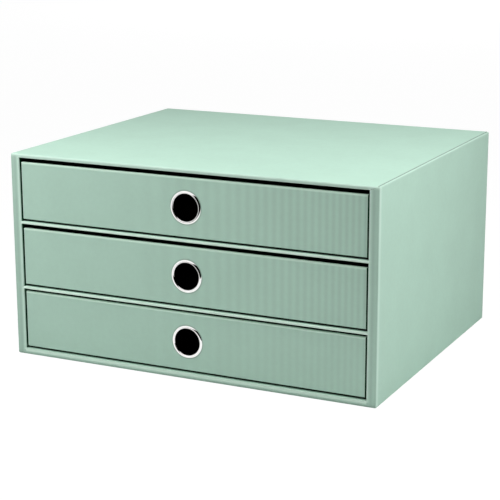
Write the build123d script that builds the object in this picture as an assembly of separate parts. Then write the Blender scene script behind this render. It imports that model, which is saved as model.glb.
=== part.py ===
from build123d import *
import os

# Paper drawer box: a greyboard case covered in paper, with three pull-out drawers.
# Lengths are in millimetres. The origin is the middle of the base, X runs to the right,
# the drawer fronts face -Y and Z is up.

# Paper, and how it is folded over the boards
paper = 0.2
mouth_rounding = 0.4         # of the bays' front edges, small enough for square boards
turn_in = 12.0               # paper folded round an edge and glued down
mouth_turn_in = 4.0          # the same at the bays' mouths, up to their lining
seam = 0.15                  # slit where two edges of paper meet

# Case
case_width = 336.0
case_depth = 275.0
case_rounding = 1.5          # of its edges but the back's, over bevelled boards
top_board = 2.8
bottom_board = 3.0
base_liner = 2.0
side_board = 3.0
spacer_board = 5.0
shelf_board = 1.6
back_board = 2.5
base_reveal = 3.0            # wrap left showing round the paper under the base

# Drawers, which are all alike, and the bays that clear their fronts
front_height = 49.5
front_rounding = 1.0         # of the front's edges, over a bevelled board
front_recess = 1.3           # drawer front behind the case's front edges
front_lift = 2.0             # lower edge of the front above the shelf
front_side_gap = 1.3
bottom_top_gap = 2.6         # over the front, in the lowest bay
upper_top_gap = 4.1          # over the front, in the two other bays
front_board = 2.5
tray_side_gap = 1.6
tray_back_gap = 3.0
slide_gap = 0.3              # tray above the shelf it slides on
rim_drop = 2.0               # tray's rim below the top of the front
wall_board = 2.0
floor_board = 2.0

# Eyelet: a metal tube with a raised flange in front, clinched over a washer behind
finger_hole = 23.0
flange_width = 2.5
flange_height = 0.8
flange_crown = 1.0           # the flange's highest circle, outside the hole's edge
sheet = 0.45
punch_play = 0.1             # round the tube, in the punched boards and papers
clinch_width = 1.5
washer_width = 3.0
washer_thickness = 0.6
washer_play = 0.05

# Case, worked out
half_width = case_width / 2
case_front = -case_depth / 2
case_back = case_depth / 2
bay_half = half_width - paper - side_board - spacer_board - paper
bay_back = case_back - paper - back_board - paper
base_thickness = paper + bottom_board + base_liner + paper
shelf_thickness = paper + shelf_board + paper
bays = {}                    # name of each bay: its floor and its ceiling
level = base_thickness
for name, gap in [("bottom", bottom_top_gap), ("middle", upper_top_gap), ("top", upper_top_gap)]:
    ceiling = level + front_lift + front_height + gap
    bays[name] = (level, ceiling)
    level = ceiling + shelf_thickness
case_height = bays["top"][1] + paper + top_board + paper
shelves = {                  # name of each shelf: its underside and its upper side
    "lower": (bays["bottom"][1], bays["middle"][0]),
    "upper": (bays["middle"][1], bays["top"][0]),
}

# Drawers, worked out for a drawer that stands in a bay whose floor is at Z = 0
front_half = bay_half - front_side_gap
front_face = case_front + front_recess
front_top = front_lift + front_height
tray_face = front_face + paper + front_board + paper
tray_back = bay_back - tray_back_gap
tray_half = bay_half - tray_side_gap
tray_top = front_top - rim_drop
hole_height = (front_lift + front_top) / 2
tube_radius = finger_hole / 2 + sheet


def block(x, y, z):
    """A box between two values of each coordinate."""
    size = Box(x[1] - x[0], y[1] - y[0], z[1] - z[0])
    return Pos((x[0] + x[1]) / 2, (y[0] + y[1]) / 2, (z[0] + z[1]) / 2) * size


def front_slab(corners, depth):
    """A flat outline of (x, z) corners on the case's front, drawn back by a depth."""
    outline = make_face(Polyline(*[(x, case_front, z) for x, z in corners], close=True))
    return extrude(outline, depth, dir=(0, 1, 0))


def edges_before_back(sheet):
    """All but the back's edges of a block that lies a sheet's thickness inside the case."""
    wide = (-half_width + sheet, half_width - sheet)
    deep = (case_front + sheet, case_back - sheet)
    return block(wide, deep, (sheet, case_height - sheet)).edges().sort_by(Axis.Y)[:8]


def case_form():
    """The covered case as one solid with rounded edges and three bays with folded mouths."""
    form = fillet(edges_before_back(0), case_rounding)
    for bay in bays.values():
        form -= block((-bay_half, bay_half), (case_front, bay_back), bay)
    mouths = form.faces().sort_by(Axis.Y)[0].inner_wires()
    return fillet([edge for mouth in mouths for edge in mouth.edges()], mouth_rounding)


def case_boards():
    """The case's greyboards: shelves lie on spacers, which double the sides."""
    outside = half_width - paper
    inside = outside - side_board
    full = (-outside, outside)
    within = (-inside, inside)
    front = case_front + paper
    back = case_back - paper
    deep = (front, back)
    before_back = (front, back - back_board)
    low = paper + bottom_board
    high = case_height - paper - top_board
    boards = {
        "top_board": block(full, deep, (high, high + top_board)),
        "bottom_board": block(full, deep, (paper, low)),
        "left_side_board": block((-outside, -inside), deep, (low, high)),
        "right_side_board": block((inside, outside), deep, (low, high)),
        "back_board": block(within, (back - back_board, back), (low, high)),
        "base_liner_board": block(within, before_back, (low, low + base_liner)),
    }
    for name, (underside, upper_side) in shelves.items():
        board = (underside + paper, upper_side - paper)
        boards[f"{name}_shelf_board"] = block(within, before_back, board)
    for name, (floor, ceiling) in bays.items():
        stand = (floor - paper, ceiling + paper)
        left = (-inside, -bay_half - paper)
        right = (bay_half + paper, inside)
        boards[f"{name}_bay_left_spacer"] = block(left, before_back, stand)
        boards[f"{name}_bay_right_spacer"] = block(right, before_back, stand)
    core = chamfer(edges_before_back(paper), case_rounding - paper)
    return {name: board & core for name, board in boards.items()}


def base_paper_region():
    """Where the base's paper lies: under the case, up its front edge and into the lowest bay."""
    reveal_half = half_width - base_reveal
    deep = (case_front, case_back - base_reveal)
    underside = block((-reveal_half, reveal_half), deep, (0, paper))
    mitred = [
        (-reveal_half, 0),
        (-bay_half, base_thickness),
        (bay_half, base_thickness),
        (reveal_half, 0),
    ]
    front_edge = front_slab(mitred, case_rounding)
    flap_deep = (case_front, case_front + mouth_turn_in)
    flap = block((-bay_half, bay_half), flap_deep, (base_thickness - paper, base_thickness))
    return underside + front_edge + flap


def top_mitre(side):
    """The slit across the front frame at one upper corner, from its outer to its inner corner."""
    outer = Vector(side * half_width, case_height)
    inner = Vector(side * bay_half, bays["top"][1])
    along = (outer - inner).normalized()
    across = Vector(-along.Y, along.X) * (seam / 2)
    corners = [outer - across, inner - across, inner + across, outer + across]
    return front_slab([(corner.X, corner.Y) for corner in corners], paper)


def closing_seam():
    """The slit beside the upper right edge, where the wrap round the case begins and ends."""
    flat = half_width - case_rounding
    deep = (case_front + 2 * case_rounding, case_back - paper)
    return block((flat - seam, flat), deep, (case_height - paper, case_height))


def case_papers(boards):
    """The sheets that cover the case's boards, cut apart where one sheet meets the next."""
    skin = case_form()
    for board in boards.values():
        skin -= board
    flap_deep = (case_front, case_front + mouth_turn_in)
    back_half = half_width - turn_in
    back_sheet = (case_back - paper, case_back)
    sheets = {
        "base_paper": base_paper_region(),
        "back_paper": block((-back_half, back_half), back_sheet, (turn_in, case_height - turn_in)),
    }
    for name, shelf in shelves.items():
        sheets[f"{name}_shelf_edging"] = block((-bay_half, bay_half), flap_deep, shelf)
    for name, (floor, ceiling) in bays.items():
        wide = (-bay_half - paper, bay_half + paper)
        lined_deep = (case_front + mouth_turn_in, bay_back + paper)
        sheets[f"{name}_bay_lining"] = block(wide, lined_deep, (floor - paper, ceiling + paper))
    papers = {name: skin & region for name, region in sheets.items()}
    wrap = skin - top_mitre(-1) - top_mitre(1) - closing_seam()
    for region in sheets.values():
        wrap -= region
    papers["outer_wrap"] = wrap
    return papers


def tray_form():
    """One covered tray as a solid, open at the top."""
    wall = paper + wall_board + paper
    floor = slide_gap + paper + floor_board + paper
    form = block((-tray_half, tray_half), (tray_face, tray_back), (slide_gap, tray_top))
    hollow_wide = (-tray_half + wall, tray_half - wall)
    return form - block(hollow_wide, (tray_face + wall, tray_back - wall), (floor, tray_top))


def tray_boards():
    """The tray's floor, the side walls on it, and the front and back walls between them."""
    outside = tray_half - paper
    inside = outside - wall_board
    front = tray_face + paper
    back = tray_back - paper
    low = slide_gap + paper + floor_board
    wall = (low, tray_top - paper)
    return {
        "floor": block((-outside, outside), (front, back), (low - floor_board, low)),
        "left_wall": block((-outside, -inside), (front, back), wall),
        "right_wall": block((inside, outside), (front, back), wall),
        "front_wall": block((-inside, inside), (front, front + wall_board), wall),
        "back_wall": block((-inside, inside), (back - wall_board, back), wall),
    }


def tray_papers(boards):
    """The wrap outside the tray, turned in over its rim, and the lining below it."""
    skin = tray_form()
    for board in boards.values():
        skin -= board
    inset = paper + wall_board
    lined = block(
        (-tray_half + inset, tray_half - inset),
        (tray_face + inset, tray_back - inset),
        (slide_gap + paper + floor_board, tray_top - turn_in),
    )
    return {"wrap": skin - lined, "lining": skin & lined}


def front_panel():
    """The front's board, and its ribbed cover, turned in behind with a mitre at each corner."""
    wide = (-front_half, front_half)
    high = (front_lift, front_top)
    board = block(
        (wide[0] + paper, wide[1] - paper),
        (front_face + paper, tray_face - paper),
        (high[0] + paper, high[1] - paper),
    )
    behind = (tray_face - paper, tray_face)
    window = block(
        (wide[0] + turn_in, wide[1] - turn_in),
        behind,
        (high[0] + turn_in, high[1] - turn_in),
    )
    board = chamfer(board.faces().sort_by(Axis.Y)[0].edges(), front_rounding - paper)
    panel = block(wide, (front_face, tray_face), high)
    cover = fillet(panel.faces().sort_by(Axis.Y)[0].edges(), front_rounding) - board - window
    for x, side in [(wide[0], 1), (wide[1], -1)]:
        for z, rise in [(high[0], 1), (high[1], -1)]:
            slit = Rot(0, -45 * side * rise, 0) * Box(4 * turn_in, paper, seam)
            cover -= Pos(x, tray_face - paper / 2, z) * slit
    return {"front_board": board, "front_cover": cover}


def ring(outer_radius, inner_radius, thickness, start):
    """A flat ring round the middle of the finger hole, drawn back from start."""
    flat = Cylinder(outer_radius, thickness)
    if inner_radius:
        flat -= Cylinder(inner_radius, thickness)
    return Pos(0, start + thickness / 2, hole_height) * Rot(90, 0, 0) * flat


def eyelet():
    """The eyelet's section turned round the middle of the finger hole."""
    inner = finger_hole / 2
    outer = inner + flange_width
    clinch = tray_face + paper + wall_board + paper + washer_thickness - front_face
    corners = [
        (inner, 0),
        (inner + flange_crown, -flange_height),
        (outer, 0),
        (tube_radius, 0),
        (tube_radius, clinch),
        (tube_radius + clinch_width, clinch),
        (inner, clinch + sheet),
    ]
    section = make_face(Polyline(*corners, close=True))
    return Pos(0, front_face, hole_height) * revolve(section, Axis.Y)


def drawer():
    """Every piece of one drawer, standing in a bay whose floor is at Z = 0."""
    pieces = tray_boards()
    pieces.update(tray_papers(pieces))
    pieces.update(front_panel())
    inner_face = tray_face + paper + wall_board + paper
    punch = ring(tube_radius + punch_play, 0, inner_face - front_face, front_face)
    for name in ("front_wall", "front_board", "front_cover", "wrap", "lining"):
        pieces[name] -= punch
    pieces["eyelet"] = eyelet()
    pieces["eyelet_washer"] = ring(
        tube_radius + washer_width, tube_radius + washer_play, washer_thickness, inner_face
    )
    return pieces


nodes = case_boards()
nodes.update(case_papers(nodes))
drawer_pieces = drawer()
for bay, (floor, ceiling) in bays.items():
    for name, piece in drawer_pieces.items():
        nodes[f"{bay}_drawer_{name}"] = Pos(0, 0, floor) * piece

os.makedirs("parts", exist_ok=True)
for name, piece in nodes.items():
    export_step(piece, f"parts/{name}.step")
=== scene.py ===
# %% [markdown]
# # A paper drawer box, dressed for its photograph
#
# The real object is a box of greyboard, covered in smooth mint paper, with three drawers.
# Each drawer has a front of finely ribbed paper and a chromed eyelet as its finger hole.
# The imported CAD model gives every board, sheet and eyelet its place, in metres. This script
# keeps those pieces, remakes the ones whose finish needs finer form, and lights the whole.

# %% Load the frame and keep its box
import math

import bpy
import numpy as np
from mathutils import Matrix, Vector


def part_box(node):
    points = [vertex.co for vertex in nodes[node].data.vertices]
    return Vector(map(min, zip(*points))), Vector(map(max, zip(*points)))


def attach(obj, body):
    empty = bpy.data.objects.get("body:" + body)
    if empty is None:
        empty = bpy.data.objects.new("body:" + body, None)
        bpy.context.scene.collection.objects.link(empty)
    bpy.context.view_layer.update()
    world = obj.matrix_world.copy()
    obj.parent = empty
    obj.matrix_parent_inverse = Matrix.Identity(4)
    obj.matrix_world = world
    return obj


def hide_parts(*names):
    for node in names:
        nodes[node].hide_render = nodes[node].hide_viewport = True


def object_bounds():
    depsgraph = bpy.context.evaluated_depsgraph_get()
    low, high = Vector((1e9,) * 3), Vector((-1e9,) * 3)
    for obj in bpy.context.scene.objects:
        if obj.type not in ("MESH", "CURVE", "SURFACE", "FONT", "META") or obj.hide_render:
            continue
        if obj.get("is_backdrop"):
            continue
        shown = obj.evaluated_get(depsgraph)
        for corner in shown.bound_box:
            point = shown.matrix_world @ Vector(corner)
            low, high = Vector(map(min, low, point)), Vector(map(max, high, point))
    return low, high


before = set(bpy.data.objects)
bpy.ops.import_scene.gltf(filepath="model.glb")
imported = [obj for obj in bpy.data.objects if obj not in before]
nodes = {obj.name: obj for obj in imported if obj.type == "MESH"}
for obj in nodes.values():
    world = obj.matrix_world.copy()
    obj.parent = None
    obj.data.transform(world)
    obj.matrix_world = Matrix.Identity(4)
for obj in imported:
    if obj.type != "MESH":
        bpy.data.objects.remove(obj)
cad_low, cad_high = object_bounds()
print("CAD box in mm", [round(1000 * length) for length in cad_high - cad_low])

# %% [markdown]
# ## The camera
#
# The photograph shows the box from the right and a little above, and its upright edges stay
# nearly parallel, so it was taken with a long lens from over a metre away. The place, turn
# and lens below put the box's corners where the photograph has them. A camera that looks
# along its own -Z is tipped up by 90 degrees less the pitch, then turned about Z. Lengths
# are in metres here as everywhere, but Blender takes a lens and its sensor in millimetres.

# %% Camera
LENS = 0.10938
SENSOR = 0.036
CAMERA_PLACE = (0.5713, -1.1938, 0.4111)
YAW = math.radians(25.899)
PITCH = math.radians(14.059)
ROLL = math.radians(-0.163)

camera_data = bpy.data.cameras.new("camera")
camera_data.sensor_width = 1000 * SENSOR
camera_data.lens = 1000 * LENS
camera = bpy.data.objects.new("camera", camera_data)
bpy.context.collection.objects.link(camera)
turn = Matrix.Rotation(YAW, 4, "Z") @ Matrix.Rotation(math.pi / 2 - PITCH, 4, "X")
camera.matrix_world = Matrix.Translation(CAMERA_PLACE) @ turn @ Matrix.Rotation(ROLL, 4, "Z")
bpy.context.scene.camera = camera
print("camera", round(1000 * (cad_low.y - camera.location.y)), "mm before the box's front")

# %% [markdown]
# ## Arithmetic for shaders
#
# A procedural finish is arithmetic on coordinates: how near a point is to a fold, how a
# fibre pattern lightens or darkens it. Wiring that by hand in the node editor is slow to
# read. The first class below wraps one output socket, so that an expression such as
# `1 - 0.2 * fibre` adds the Math nodes by itself. The second has one method that makes any
# other node. The third is a material, with the few patterns that the finishes here share.

# %% Signals
class Signal:
    """One output of a node, on which arithmetic adds Math nodes."""

    def __init__(self, wiring, socket):
        self.wiring = wiring
        self.socket = socket

    def math(self, operation, *values):
        """The output of a new Math node of this operation on these values."""
        return self.wiring.node("ShaderNodeMath", {"operation": operation}, dict(enumerate(values)))

    def __add__(self, other):
        return self.math("ADD", self, other)

    def __sub__(self, other):
        return self.math("SUBTRACT", self, other)

    def __rsub__(self, other):
        return self.math("SUBTRACT", other, self)

    def __mul__(self, other):
        return self.math("MULTIPLY", self, other)

    __radd__ = __add__
    __rmul__ = __mul__

    def size(self):
        """The number without its sign."""
        return self.math("ABSOLUTE", self)

    def over(self, other):
        """The larger of two numbers."""
        return self.math("MAXIMUM", self, other)

    def below(self, other):
        """1 where the number is smaller than another, else 0."""
        return self.math("LESS_THAN", self, other)

    def cosine(self):
        """The cosine of the number, an angle in radians."""
        return self.math("COSINE", self)

    def root(self):
        """The square root of the number."""
        return self.math("SQRT", self)


# %% Wiring
class Wiring:
    """A node tree under construction, with one method that makes any node."""

    def __init__(self, tree):
        self.tree = tree

    def node(self, kind, settings=None, sockets=None, out=0):
        """Makes a node, applies its settings, then sets or links its sockets."""
        made = self.tree.nodes.new(kind)
        for name, value in (settings or {}).items():
            if name == "stops":
                self.stops(made.color_ramp, value)
            else:
                setattr(made, name, value)
        for name, value in (sockets or {}).items():
            if isinstance(value, Signal):
                self.tree.links.new(value.socket, made.inputs[name])
            else:
                made.inputs[name].default_value = value
        return Signal(self, made.outputs[out])

    def stops(self, ramp, stops):
        """Gives a colour ramp its (position, colour) stops."""
        while len(ramp.elements) < len(stops):
            ramp.elements.new(1)
        for element, (position, colour) in zip(ramp.elements, stops):
            element.position = position
            element.color = colour

    def parts(self, place):
        """The x, y and z of a vector."""
        split = self.node("ShaderNodeSeparateXYZ", {}, {0: place}).socket.node
        return [Signal(self, socket) for socket in split.outputs]

    def rise(self, value, start, end):
        """0 at a start and before it, 1 at an end and beyond it, straight in between."""
        values = {"Value": value, 1: start, 2: end, 3: 0.0, 4: 1.0}
        return self.node("ShaderNodeMapRange", {}, values)


# %% Finishes
class Finish(Wiring):
    """A material under construction: its node tree, its shader and its coordinates."""

    def __init__(self, name):
        self.material = bpy.data.materials.new(name)
        self.material.use_nodes = True
        super().__init__(self.material.node_tree)
        self.shader = self.tree.nodes["Principled BSDF"]
        self.place = self.node("ShaderNodeTexCoord", out="Object")
        self.x, self.y, self.z = self.parts(self.place)

    def noise(self, size, detail=2.0, stretch=(1, 1, 1)):
        """Noise with features of about this size in metres, drawn out along an axis by stretch."""
        scale = [1 / length for length in stretch]
        scaled = self.node("ShaderNodeMapping", {}, {0: self.place, 3: scale})
        values = {"Vector": scaled, "Scale": 1 / size, "Detail": detail}
        return self.node("ShaderNodeTexNoise", {}, values)

    def near(self, value, place, reach):
        """1 where a value is at a place, falling smoothly to 0 at a reach from it."""
        values = {"Value": (value - place).size(), 1: 0.0, 2: reach, 3: 1.0, 4: 0.0}
        return self.node("ShaderNodeMapRange", {"interpolation_type": "SMOOTHSTEP"}, values)

    def blend(self, factor, first, second):
        """Mixes two colours: the first at 0, the second at 1."""
        sockets = {0: factor, 6: first, 7: second}
        return self.node("ShaderNodeMix", {"data_type": "RGBA"}, sockets, out=2)

    def tone(self, colour, amount):
        """A colour made darker or lighter by a number that varies over the surface."""
        sockets = {0: colour[:3], "Scale": amount}
        return self.node("ShaderNodeVectorMath", {"operation": "SCALE"}, sockets)

    def feed(self, **sockets):
        """Links or sets the shader's own sockets, named with underscores for spaces."""
        for name, value in sockets.items():
            socket = self.shader.inputs[name.replace("_", " ")]
            if isinstance(value, Signal):
                self.tree.links.new(value.socket, socket)
            else:
                socket.default_value = value

    def relief(self, height, depth):
        """A normal from a height between 0 and 1 that stands for this depth in metres."""
        sockets = {"Height": height, "Distance": depth, "Strength": 1.0}
        return self.node("ShaderNodeBump", {}, sockets)


# %% [markdown]
# ## Colours
#
# A colour read off a screen is written as 0 to 255 in sRGB, which is curved for the eye.
# Blender's sockets take linear light, in which double the number is double the light, so
# each colour goes through the curve once, here.

# %% Colours
def linear(red, green, blue):
    """An sRGB colour, written 0 to 255, as the linear colour that sockets take."""
    share = np.array([red, green, blue]) / 255
    low = share / 12.92
    high = ((share + 0.055) / 1.055) ** 2.4
    return (*np.where(share <= 0.04045, low, high).tolist(), 1.0)


MINT = linear(188, 221, 204)
print("mint in linear light", [round(value, 3) for value in MINT[:3]])

# %% [markdown]
# ## Mint paper over board
#
# The case is covered in dyed, uncoated paper. Close to, such paper has a fibre felt of
# slightly lighter and darker specks and soft clouds as wide as two fingers. Where it is
# folded over a board the fibres open a little, and each fold gets a painted highlight as a
# paler line. The shelves' thin front edges and the sill under the lowest drawer get the
# brightest painted highlight. Painted shade darkens the frame over the joints of its boards,
# at its foot and down its left edge, and a painted shadow lies along the closing seam on the
# top. Behind its fold, the paper that faces a narrow gap lies in deep shade, painted there as
# a near-black green. An image texture could hold all this, but it would blur close to.
# Arithmetic on Object coordinates stays sharp, and holds still when a drawer slides.

# %% The case and its bays
BAYS = ("bottom", "middle", "top")
PAPER_THICKNESS = 0.0002

case_low, case_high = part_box("outer_wrap")
bay_ends = []
for bay in BAYS:
    low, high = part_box(f"{bay}_bay_lining")
    bay_ends.extend([low.z + PAPER_THICKNESS, high.z - PAPER_THICKNESS])
bay_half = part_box("bottom_bay_lining")[1].x - PAPER_THICKNESS
print("floors and ceilings of the bays in mm", [round(1000 * end, 1) for end in bay_ends])


def beside_bays(finish, margin):
    """1 from the lowest bay's floor to the highest bay's ceiling and a margin beyond, else 0."""
    up = (finish.z - (bay_ends[0] + bay_ends[-1]) / 2).size()
    return up.below((bay_ends[-1] - bay_ends[0]) / 2 + margin)


# %% Paler fibres and painted highlights on the case's folds
# The folds' colour is mostly a painted highlight, with a little of the paper's paler opened fibres.
PALE_FOLD_HIGHLIGHT = linear(214, 240, 226)
FOLD_REACH = 0.0014  # from a fold to where it is no longer paler
CORNER_REACH = 0.0005
CORNER_BAND = 0.006
JAMB_REACH = 0.003
LINTEL_REACH = 0.0036


def case_fold_highlights(finish):
    """1 on the case's folds, its outer edges, its lintel and the mouths of its bays: a painted
    highlight over slightly paler opened fibres.
    """
    corner = finish.near(finish.x.size(), case_high.x, CORNER_REACH)
    corner = corner * finish.near(finish.y, case_low.y, CORNER_BAND)
    front = finish.near(finish.y, case_low.y, FOLD_REACH)
    side = finish.near(finish.x.size(), case_high.x, FOLD_REACH)
    top = finish.near(finish.z, case_high.z, FOLD_REACH)
    lintel = finish.near(finish.z, case_high.z, LINTEL_REACH)
    highest = finish.near(finish.z, bay_ends[-1], FOLD_REACH)
    across = finish.x.size().below(bay_half + FOLD_REACH)
    jamb = finish.near(finish.x.size(), bay_half, JAMB_REACH) * beside_bays(finish, FOLD_REACH)
    mouths = (highest * across).over(jamb)
    return (lintel.over(mouths) * front).over(side * top).over(corner)


# %% Brightest painted highlights: the shelves' edges and the sill
# The edges' colour is a painted highlight, where their rounded fronts catch the light from above.
EDGE_HIGHLIGHT = linear(228, 254, 238)
SHELF_HALF = 0.0014
SILL_DROP = 0.0014  # from the lowest bay's floor down to the palest line
SILL_REACH = 0.0024


def shelf_edge_highlights(finish):
    """Painted highlight: 1 on the front edges of the two shelves and along the sill under the lowest
    drawer.
    """
    front = finish.y.below(case_low.y + FOLD_REACH)
    across = finish.x.size().below(bay_half + PAPER_THICKNESS)
    edges = finish.near(finish.z, bay_ends[0] - SILL_DROP, SILL_REACH)
    for below, above in ((bay_ends[1], bay_ends[2]), (bay_ends[3], bay_ends[4])):
        edges = (finish.z - (below + above) / 2).size().below(SHELF_HALF) + edges
    return edges * front * across


# %% Painted shade in the gaps beside the fronts
# Paper in a narrow gap lies in deep shade, painted as this dark green.
GAP_SHADE_GREEN = linear(10, 66, 38)
GAP_START = 0.0004  # behind a front edge, where the paper begins to darken
GAP_END = 0.0011
JAMB_DELAY = 0.0005


def painted_gap_shade(finish, face, front):
    """Painted shade: 1 on a side face of paper, from just behind a front edge inwards."""
    return face * finish.rise(finish.y, front + GAP_START, front + GAP_END)


def case_gap_shade(finish):
    """Painted shade: 1 on the jambs' faces behind their folds."""
    jamb_face = (finish.x.size() - bay_half).size().below(PAPER_THICKNESS)
    jamb_face = jamb_face * beside_bays(finish, 0)
    return painted_gap_shade(finish, jamb_face, case_low.y + JAMB_DELAY)


# %% Painted shade on the frame and along the closing seam
ON_FACE = 0.0005  # still on a face, this far from its plane
# Painted shade: the frame's face a little darker, more at its foot, down its left edge and over its
# board joints, and a painted shadow along the closing seam on the top.
FRAME_SHADE = 0.05
FOOT_REACH = 0.0032
FOOT_SHADE = 0.35
LEFT_REACH = 0.007
LEFT_SHADE = 0.08
JOINT_INSETS = (0.0008, 0.0046)
JOINT_REACHES = (0.001, 0.0018)
JOINT_SHADE = 0.08
SEAM_INSET = 0.0016
SEAM_REACH = 0.0009
SEAM_SHADE = 0.65


def case_painted_shade(finish):
    """Brightness of painted shade: a shadow along the closing seam, and the frame's face, darkest at
    its foot and its joints.
    """
    on_top = finish.near(finish.z, case_high.z, ON_FACE)
    seam = finish.near(finish.x, case_high.x - SEAM_INSET, SEAM_REACH) * on_top
    on_front = finish.near(finish.y, case_low.y, ON_FACE)
    joints = 0.0
    for inset, reach in zip(JOINT_INSETS, JOINT_REACHES):
        joints = finish.near(finish.x.size(), case_high.x - inset, reach) + joints
    foot = FOOT_SHADE * finish.near(finish.z, case_low.z, FOOT_REACH)
    left = LEFT_SHADE * finish.near(finish.x, case_low.x, LEFT_REACH)
    frame_shade = FRAME_SHADE + JOINT_SHADE * joints + foot + left
    return 1 - SEAM_SHADE * seam - frame_shade * on_front


# %% Mint paper
FELT = {"fibres": (0.0006, 3.0, 0.07), "flecks": (0.004, 2.0, 0.06), "clouds": (0.035, 2.0, 0.08)}
GRAIN = 0.0005
GRAIN_DEPTH = 0.00003


def felt(finish):
    """Brightness of uncoated paper, about 1: each layer has a size, a detail and a strength."""
    brightness = 1
    for size, detail, strength in FELT.values():
        brightness = brightness + strength * (finish.noise(size, detail) - 0.5)
    return brightness


def mint_paper(name, marks, folds, edges, gap):
    """Paper with its felt and marks, painted highlights on its folds and edges, and painted shade in
    its gaps.
    """
    finish = Finish(name)
    colour = finish.tone(MINT, felt(finish) * marks(finish))
    # Painted highlights on folds and edges, then painted shade in the gaps, over the paper's own
    # colour.
    for factor, towards in ((folds, PALE_FOLD_HIGHLIGHT), (edges, EDGE_HIGHLIGHT), (gap, GAP_SHADE_GREEN)):
        colour = finish.blend(factor(finish), colour, towards)
    grain = finish.noise(GRAIN, detail=4.0)
    finish.feed(Base_Color=colour, Roughness=0.75, Normal=finish.relief(grain, GRAIN_DEPTH))
    finish.feed(Specular_IOR_Level=0.15)
    return finish.material


case_paper = mint_paper("case_paper", case_painted_shade, case_fold_highlights, shelf_edge_highlights, case_gap_shade)
print("case paper has", len(case_paper.node_tree.nodes), "nodes")

# %% [markdown]
# ## The other plain finishes
#
# Inside, bays and drawers are lined with black paper, and the boards are greyboard, pressed
# from waste paper, with dark and light fibres in it. Little of either shows, but both turn up
# when a drawer is pulled out. The eyelets are chromed steel: a metal with a low roughness.

# %% Black lining, greyboard and chrome
NEAR_BLACK = linear(30, 31, 30)
BRIGHT_METAL = linear(250, 250, 248)
POLISH = 0.04
SMEAR = 0.03


def lining_paper():
    """The black paper of bays and trays, with the same felt as the mint one."""
    finish = Finish("lining_paper")
    finish.feed(Base_Color=finish.tone(NEAR_BLACK, felt(finish)), Roughness=0.7)
    grain = finish.noise(GRAIN, detail=4.0)
    finish.feed(Normal=finish.relief(grain, GRAIN_DEPTH), Specular_IOR_Level=0.25)
    return finish.material


def greyboard():
    """Pressed waste paper: its specks are drawn out in the direction that it was rolled."""
    finish = Finish("greyboard")
    specks = finish.noise(size=0.0012, detail=3.0, stretch=(1, 3, 1))
    dark, usual, light = linear(112, 106, 98), linear(150, 144, 134), linear(178, 172, 160)
    stops = [(0.3, dark), (0.5, usual), (0.72, light)]
    mottled = finish.node("ShaderNodeValToRGB", {"stops": stops}, {0: specks})
    finish.feed(Base_Color=mottled, Roughness=0.85, Normal=finish.relief(specks, depth=0.00008))
    return finish.material


def chrome():
    """A bright metal whose slight smears vary its tone and roughness."""
    finish = Finish("chrome")
    smear = SMEAR * finish.noise(size=0.003, detail=2.0)
    finish.feed(Base_Color=finish.tone(BRIGHT_METAL, 1 - smear), Metallic=1.0)
    finish.feed(Roughness=POLISH + smear)
    return finish.material


black_paper = lining_paper()
board = greyboard()
eyelet_metal = chrome()
print("plain finishes:", black_paper.name, board.name, eyelet_metal.name)

# %% [markdown]
# ## Ribbed paper for the drawer fronts
#
# The fronts are covered in the same mint, but embossed with upright ribs about a millimetre
# apart. The ribs themselves are geometry, below. In the photograph they beat against the
# picture's own pixels, as fine lines do. The beats show as soft upright bands in the same
# places on the three fronts, which grow stronger and narrower to the right. A cosine whose
# waves get shorter with x gives them. The upper edge and the side folds get painted
# highlights, and painted shade darkens a ring round the eyelet's flange, the front's right
# edge and its side faces in the gaps.

# %% Ribbed paper
BANDS_AT_MIDDLE = 79.8  # bands to a metre at x = 0
BANDS_GROWTH = 374.0  # half of how many more there are a metre further right
BANDS_START = -0.13  # so the nearest band's middle lies a little right of x = 0
BANDS_LEAST = 0.12
BANDS_GROW_FROM = -0.06
BAND_DEPTHS = {"bottom": 0.025, "middle": 0.045, "top": 0.05}
# Reach of the painted highlight along the front's upper edge.
UPPER_REACH = 0.0022
# Width of the painted shade along the front's right edge.
RIGHT_EDGE_SHADE = 0.0006
# Painted contact shadow in a ring round the eyelet's flange.
RING_SHADOW_REACH = 0.0011
RING_SHADOW_STRENGTH = 0.35


def ribbed_paper(bay):
    """The finish of one drawer's front. Its beats reach their full depth at its right end."""
    low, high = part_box(f"{bay}_drawer_front_cover")
    eyelet_low, eyelet_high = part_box(f"{bay}_drawer_eyelet")

    def marks(finish):
        """Brightness of the beats, and of a painted contact shadow in a ring round the eyelet's
        flange.
        """
        count = finish.x * (BANDS_GROWTH * finish.x + BANDS_AT_MIDDLE) + BANDS_START
        beats = (count * (2 * math.pi)).cosine()
        growth = finish.rise(finish.x, BANDS_GROW_FROM, high.x)
        fade = BANDS_LEAST + (1 - BANDS_LEAST) * growth
        up = finish.z - (eyelet_low.z + eyelet_high.z) / 2
        radius = (finish.x * finish.x + up * up).root()
        ring_shadow = finish.near(radius, eyelet_high.x, RING_SHADOW_REACH)
        return (1 + BAND_DEPTHS[bay] * fade * beats) * (1 - RING_SHADOW_STRENGTH * ring_shadow)

    def folds(finish):
        """Painted highlight, over slightly paler fibres: 1 on the two upright folds of the front."""
        sides = finish.near(finish.x.size(), high.x, FOLD_REACH)
        return sides * finish.near(finish.y, low.y, FOLD_REACH)

    def upper_edge_highlight(finish):
        """Painted highlight: 1 along the top of the front."""
        return finish.near(finish.z, high.z, UPPER_REACH)

    def gap(finish):
        """Painted shade: 1 on the two side faces behind their folds, and on the right edge of the
        face.
        """
        side_face = (finish.x.size() - high.x).size().below(PAPER_THICKNESS)
        right_edge_shade = (high.x - RIGHT_EDGE_SHADE - finish.x).below(0)
        return painted_gap_shade(finish, side_face, low.y).over(right_edge_shade)

    return mint_paper(f"ribbed_paper_{bay}", marks, folds, upper_edge_highlight, gap)


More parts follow.
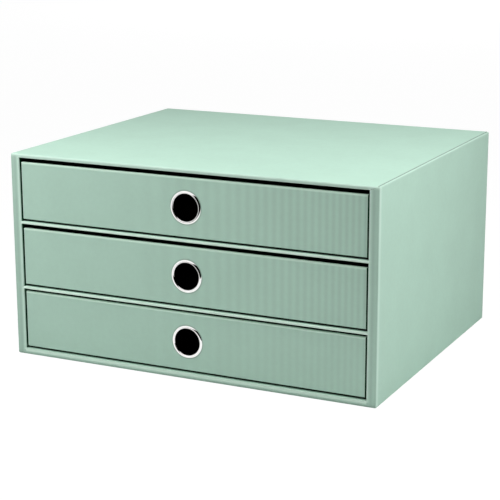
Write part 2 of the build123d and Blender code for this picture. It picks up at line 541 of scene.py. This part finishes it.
# %% [markdown]
# ## Dressing the CAD nodes
#
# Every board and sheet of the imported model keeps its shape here. Each takes a finish from
# the slot that its name stands for. The fronts' covers and the eyelets are made anew below.

# %% Dress the CAD nodes
def finish_of(name):
    """The finish that a CAD node takes, from the slot word in its name."""
    if name.endswith(("bay_lining", "drawer_lining", "drawer_wrap")):
        return black_paper
    if name.endswith(("board", "spacer", "wall", "floor")):
        return board
    if "eyelet" in name:
        return eyelet_metal
    return case_paper


for name, piece in nodes.items():
    piece.data.materials.clear()
    piece.data.materials.append(finish_of(name))
print(len(nodes), "CAD nodes dressed")

# %% [markdown]
# ## Ribbed covers
#
# A cover is one sheet: it lies over the front board, goes round its four edges and is glued
# down behind with mitred corners. It could be a plain box with a bump texture, but the ribs
# are what this paper is known by, so they are modelled. The sheet is a grid of two lengths
# measured along it, u across and v up. A fold carries the part beyond the face round the
# edge. Ribs are a raised cosine of x. The lower and the upper half of the sheet each end
# on the circle of the finger hole, and meet each other on both sides of it.

# %% A grid of points as a mesh
def grid_mesh(name, grids, closed=False):
    """Joins grids of points, each rows by columns by 3, as quads.

    A closed grid wraps both ways and is shaded smooth. An open one is a folded sheet, whose
    facets keep their own shading, so that no cut edge shades the long quads beside it.
    """
    points = np.concatenate([grid.reshape(-1, 3) for grid in grids])
    quads = []
    start = 0
    for grid in grids:
        rows, columns = grid.shape[:2]
        index = start + np.arange(rows * columns).reshape(rows, columns)
        if closed:
            index = np.pad(index, ((0, 1), (0, 1)), mode="wrap")
        corners = (index[:-1, :-1], index[:-1, 1:], index[1:, 1:], index[1:, :-1])
        quads.append(np.stack(corners, axis=-1).reshape(-1, 4))
        start += rows * columns
    quads = np.concatenate(quads)
    mesh = bpy.data.meshes.new(name)
    mesh.vertices.add(len(points))
    mesh.vertices.foreach_set("co", points.ravel())
    mesh.loops.add(quads.size)
    mesh.loops.foreach_set("vertex_index", quads.ravel())
    mesh.polygons.add(len(quads))
    mesh.polygons.foreach_set("loop_start", np.arange(len(quads)) * 4)
    mesh.polygons.foreach_set("use_smooth", np.full(len(quads), closed))
    mesh.update(calc_edges=True)
    mesh.validate()
    return mesh


def add_piece(name, mesh, material, body, slot, *replaced):
    """Puts a mesh on a body, in place of the CAD nodes that it stands for."""
    mesh.materials.append(material)
    piece = bpy.data.objects.new(name, mesh)
    bpy.context.collection.objects.link(piece)
    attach(piece, body)
    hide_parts(*replaced)
    return piece


# %% Measures of a cover
RIB_PITCH = 0.001
RIB_DEPTH = 0.00009
RIB_STEPS = 6
SHEET_THICKNESS = 0.0001
FOLD = 0.001
FOLD_STEPS = 6
FLAT_ROWS = 3  # rows of points on each half of the face
PAST_FOLD = 2  # columns of points beyond a fold: the edge's far side and the flap's end
RIB_FADE = 0.0004  # over which the ribs sink into the face before a fold
TURN_IN = 0.012
HOLE_RADIUS = 0.01205
WELD_DISTANCE = 0.000001

front_width = 2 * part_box("top_drawer_front_cover")[1].x
print("ribs across a front", round(front_width / RIB_PITCH))


# %% Lengths along a folded sheet
def fold_over(length, half, thickness):
    """Carries a length along a sheet round the edge of a board.

    Up to FOLD before the edge the sheet is flat. Then a quarter of a circle turns it back,
    it runs along the edge's thickness, and the rest comes back behind the board. Gives the
    place across the board, the depth behind its face and the reach behind the board.
    """
    side = np.sign(length)
    past = np.abs(length) - (half - FOLD)
    turn = np.clip(past / FOLD, 0, math.pi / 2)
    beyond = past - FOLD * math.pi / 2
    wall = thickness - FOLD
    reach = np.clip(beyond - wall, 0, None)
    place = half - FOLD + FOLD * np.sin(turn) + np.minimum(past, 0) - reach
    depth = FOLD * (1 - np.cos(turn)) + np.clip(beyond, 0, wall)
    return side * place, depth, reach


def sheet_lengths(half, thickness, flat):
    """Lengths along a sheet from the middle of a flat part to its free edge behind."""
    edge = half - FOLD
    arc = FOLD * math.pi / 2
    turn = edge + arc * np.arange(1, FOLD_STEPS + 1) / FOLD_STEPS
    behind = edge + arc + thickness - FOLD
    return np.concatenate([flat, turn, [behind, behind + TURN_IN]])


# %% Ribbed covers
def cover_mesh(bay):
    """The sheet of one drawer's front: a ribbed face, folded edges and mitred flaps behind.

    Each half is a grid for the face with its upper or lower edge and flap, and two strips
    for the side edges and their flaps, which begin where the side folds end. A rib's height
    is half of one less the cosine of x, times its depth, and it sinks to nothing near a
    fold. A mitre draws a flap's points to the middle in proportion to their reach behind.
    """
    low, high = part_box(f"{bay}_drawer_front_cover")
    half_x = high.x
    half_z = (high.z - low.z) / 2
    middle = (high.z + low.z) / 2
    thickness = high.y - low.y
    edge_x = half_x - FOLD
    steps = round(edge_x / RIB_PITCH * RIB_STEPS)
    right = sheet_lengths(half_x, thickness, np.linspace(0, edge_x, steps + 1))
    u = np.concatenate([-right[:0:-1], right])
    edge_z = half_z - FOLD
    up = sheet_lengths(half_z, thickness, np.array([0, edge_z - RIB_FADE, edge_z]))
    grids = []
    for direction in (-1, 1):
        v, across = np.meshgrid(direction * up, u, indexing="ij")
        hole = np.sqrt(np.clip(HOLE_RADIUS**2 - across**2, 0, None))
        v[0] = direction * hole[0]
        x, depth_x, reach_x = fold_over(across, half_x, thickness)
        z, depth_z, reach_z = fold_over(v, half_z, thickness)
        flat = np.clip((half_x - FOLD - np.abs(x)) / RIB_FADE, 0, 1)
        flat = flat * np.clip((half_z - FOLD - np.abs(z)) / RIB_FADE, 0, 1)
        ribs = RIB_DEPTH * (0.5 - 0.5 * np.cos(2 * math.pi * x / RIB_PITCH)) * flat
        y = low.y + np.maximum(depth_x, depth_z) + ribs
        mitred_x = x * (1 - reach_z / half_x)
        mitred_z = z * (1 - reach_x / half_z)
        points = np.stack([mitred_x, y, middle + mitred_z], axis=-1)
        fold_end = FOLD_STEPS + FLAT_ROWS
        face = points[:, PAST_FOLD:-PAST_FOLD]
        sides = [points[:fold_end, :PAST_FOLD + 1], points[:fold_end, -PAST_FOLD - 1:]]
        if direction == -1:
            face, sides = face[::-1], [side[::-1] for side in sides]
        grids.extend([face, *sides])
    return grid_mesh(f"{bay}_drawer_ribbed_cover", grids)


for bay in BAYS:
    mesh = cover_mesh(bay)
    name = f"{bay}_drawer_ribbed_cover"
    paper = ribbed_paper(bay)
    piece = add_piece(name, mesh, paper, f"{bay}_drawer", "front_paper", f"{bay}_drawer_front_cover")
    weld = piece.modifiers.new("weld", "WELD")
    weld.merge_threshold = WELD_DISTANCE
    sheet = piece.modifiers.new("sheet", "SOLIDIFY")
    sheet.thickness = SHEET_THICKNESS
    sheet.offset = -1
    print(name, len(mesh.polygons), "quads before its thickness")

# %% [markdown]
# ## Chromed eyelets
#
# A real eyelet is drawn from one sheet of steel: a rolled flange in front, a tube through the
# boards and an edge clinched outwards behind. Its chrome mirrors the room, so only a smoothly
# curved section looks right. The section is a closed profile of radius and depth, carried
# round the hole. The flange is two quarters of ellipses, whose crest lies near the hole, and
# the clinched edge is another quarter.

# %% Eyelets
AROUND = 144
SHEET_METAL = 0.00045
CLINCH_WIDTH = 0.0015
FLANGE_STEPS = 24
CREST = 0.3  # share of the flange's width that lies between the hole and its crest
PUNCH_PLAY = 0.0001


def eyelet_section(inner, outer, rise, clinch):
    """Closed profile of radius and depth, from the flange's outer edge over its crown inwards.

    Over the flange the radius goes as a cosine and the rise as a sine, with a wider quarter
    outside the crest than inside it. The tube is straight, and a last quarter turns the
    clinched edge outwards.
    """
    turn = np.linspace(0, math.pi, FLANGE_STEPS + 1)
    crest = inner + CREST * (outer - inner)
    reach = np.where(turn < math.pi / 2, outer - crest, crest - inner)
    flange = np.stack([crest + reach * np.cos(turn), -rise * np.sin(turn)], axis=-1)
    roll = np.linspace(math.pi, math.pi / 2, FLANGE_STEPS // 2 + 1)
    width = SHEET_METAL + CLINCH_WIDTH
    curl = np.stack([inner + width * (1 + np.cos(roll)), clinch + SHEET_METAL * np.sin(roll)], axis=-1)
    back = [(inner + width, clinch), (inner + SHEET_METAL, clinch), (inner + SHEET_METAL, 0)]
    return np.concatenate([flange, curl, back])


def eyelet_mesh(bay):
    """The eyelet's section carried round the middle of the finger hole.

    Every point keeps its depth, and its radius times the cosine and sine of the angle gives
    its place across and up.
    """
    low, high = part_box(f"{bay}_drawer_eyelet")
    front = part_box(f"{bay}_drawer_front_cover")[0].y
    inner = HOLE_RADIUS - PUNCH_PLAY - SHEET_METAL
    section = eyelet_section(inner, high.x, front - low.y, high.y - front - SHEET_METAL)
    angle = np.linspace(0, 2 * math.pi, AROUND, endpoint=False)[:, None]
    x = section[:, 0] * np.cos(angle)
    z = (low.z + high.z) / 2 + section[:, 0] * np.sin(angle)
    y = front + section[:, 1] + 0 * angle
    return grid_mesh(f"{bay}_drawer_rolled_eyelet", [np.stack([x, y, z], axis=-1)], closed=True)


for bay in BAYS:
    mesh = eyelet_mesh(bay)
    name = f"{bay}_drawer_rolled_eyelet"
    add_piece(name, mesh, eyelet_metal, f"{bay}_drawer", "eyelet_metal", f"{bay}_drawer_eyelet")
    print(name, len(mesh.polygons), "quads")

# %% [markdown]
# ## Stage and light
#
# A white studio: a wide floor, soft lights above the front of the box, by its right side, at
# its left and far behind it. The floor is white where the camera sees it and keeps a faint
# shadow, and it still throws light back up at the box. Only the chrome shows the rest of the
# room. Its dark half lies right of a plane that goes through the front of the box and leans
# to the right with height, and the floor close to the box is white again. The rings mirror
# that as white with a black crescent at the right. Black cards in a studio do the same.

# %% The room's bright half
ROOM_TURN = 0.27
ROOM_TILT = 0.8
ROOM_OFFSET = 0.08
ROOM_EDGE = 0.03
EYELET_HEIGHT = 0.09
WHITE = (1, 1, 1, 1)


def bright_half(wiring, to_right, to_back, upwards):
    """1 left of the room's leaning plane and 0 right of it, for steps away from an eyelet."""
    to_plane = to_right - ROOM_TURN * to_back - ROOM_TILT * upwards
    return wiring.rise(to_plane + ROOM_OFFSET, ROOM_EDGE, -ROOM_EDGE)


def rays(wiring):
    """Two numbers, 1 or 0: is this a ray from the camera, and is it one that chrome mirrors."""
    kinds = ("Is Camera Ray", "Is Glossy Ray")
    return [wiring.node("ShaderNodeLightPath", out=kind) for kind in kinds]


# %% Floor
FLOOR_HALF = 6.0
FLOOR_GREY = (0.8, 0.8, 0.8, 1.0)
FLOOR_GLOW = 1.08
FLOOR_WHITE_SHARE = 0.9  # the rest is the lit grey, which keeps the shadow
WHITE_STRIP = (-0.5, -0.42)  # where the floor turns white again towards the box


def stage_finish():
    """Matt grey for the light on the box, nearly white to the camera, half dark to chrome."""
    finish = Finish("studio_floor")
    finish.feed(Base_Color=FLOOR_GREY, Roughness=1.0, Specular_IOR_Level=0.0)
    seen, glossy = rays(finish)
    left = bright_half(finish, finish.x, finish.y - cad_low.y, -EYELET_HEIGHT)
    near_box = finish.rise(finish.y, *WHITE_STRIP)
    strength = FLOOR_GLOW * seen + left.over(near_box) * glossy
    glow = finish.node("ShaderNodeEmission", {}, {"Color": WHITE, "Strength": strength})
    shader = Signal(finish, finish.shader.outputs[0])
    share = FLOOR_WHITE_SHARE * seen + glossy
    mixed = finish.node("ShaderNodeMixShader", {}, {0: share, 1: shader, 2: glow})
    finish.tree.links.new(mixed.socket, finish.tree.nodes["Material Output"].inputs["Surface"])
    return finish.material


floor_mesh = bpy.data.meshes.new("studio_floor")
corners = [(-FLOOR_HALF, -FLOOR_HALF, 0), (FLOOR_HALF, -FLOOR_HALF, 0)]
corners += [(FLOOR_HALF, FLOOR_HALF, 0), (-FLOOR_HALF, FLOOR_HALF, 0)]
floor_mesh.from_pydata(corners, [], [(0, 1, 2, 3)])
floor_mesh.materials.append(stage_finish())
floor = bpy.data.objects.new("studio_floor", floor_mesh)
bpy.context.collection.objects.link(floor)
floor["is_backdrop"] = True
print("floor", 2 * FLOOR_HALF, "m wide")

# %% World
AMBIENT = 0.08

world = bpy.data.worlds.new("studio")
bpy.context.scene.world = world
world.use_nodes = True
wiring = Wiring(world.node_tree)
direction = wiring.parts(wiring.node("ShaderNodeTexCoord", out="Generated"))
seen, glossy = rays(wiring)
level = seen + glossy * bright_half(wiring, *direction) + AMBIENT * (1 - (seen + glossy))
background = world.node_tree.nodes["Background"]
background.inputs["Color"].default_value = WHITE
world.node_tree.links.new(level.socket, background.inputs["Strength"])
print("light from all sides", AMBIENT)

# %% Lamps
def lamp(name, size, power, place, aim):
    """A square area light of this width and power, aimed at a point of the box."""
    data = bpy.data.lights.new(name, "AREA")
    data.size = size
    data.energy = power
    made = bpy.data.objects.new(name, data)
    bpy.context.collection.objects.link(made)
    made.location = place
    made.visible_glossy = False
    backwards = Vector(place) - Vector(aim)
    made.rotation_euler = backwards.to_track_quat("Z", "Y").to_euler()
    print("lamp", name, "of", power, "W at", round(backwards.length, 2), "m")


lamp("over_front_edge", size=0.6, power=2.4, place=(0.05, -0.15, 0.75), aim=(0.05, -0.15, 0.17))
lamp("right", size=0.35, power=2.35, place=(0.6, -0.11, 0.48), aim=(0.168, -0.05, 0.12))
lamp("left_front", size=0.3, power=1.45, place=(-0.3, -0.4, 0.45), aim=(-0.08, -0.137, 0.14))
lamp("behind", size=0.8, power=40.0, place=(-1.2, 4.0, 0.4), aim=(0.0, 0.137, 0.1))

bpy.context.scene.view_settings.view_transform = "Standard"

# %% [markdown]
# ## Last step: measure
#
# The dressed box must stay inside the CAD box, so its size is printed here, as the CAD box's was at
# the start.

# %% Measure the dressed box
low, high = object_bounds()
print("visual box in mm", [round(1000 * length) for length in high - low])
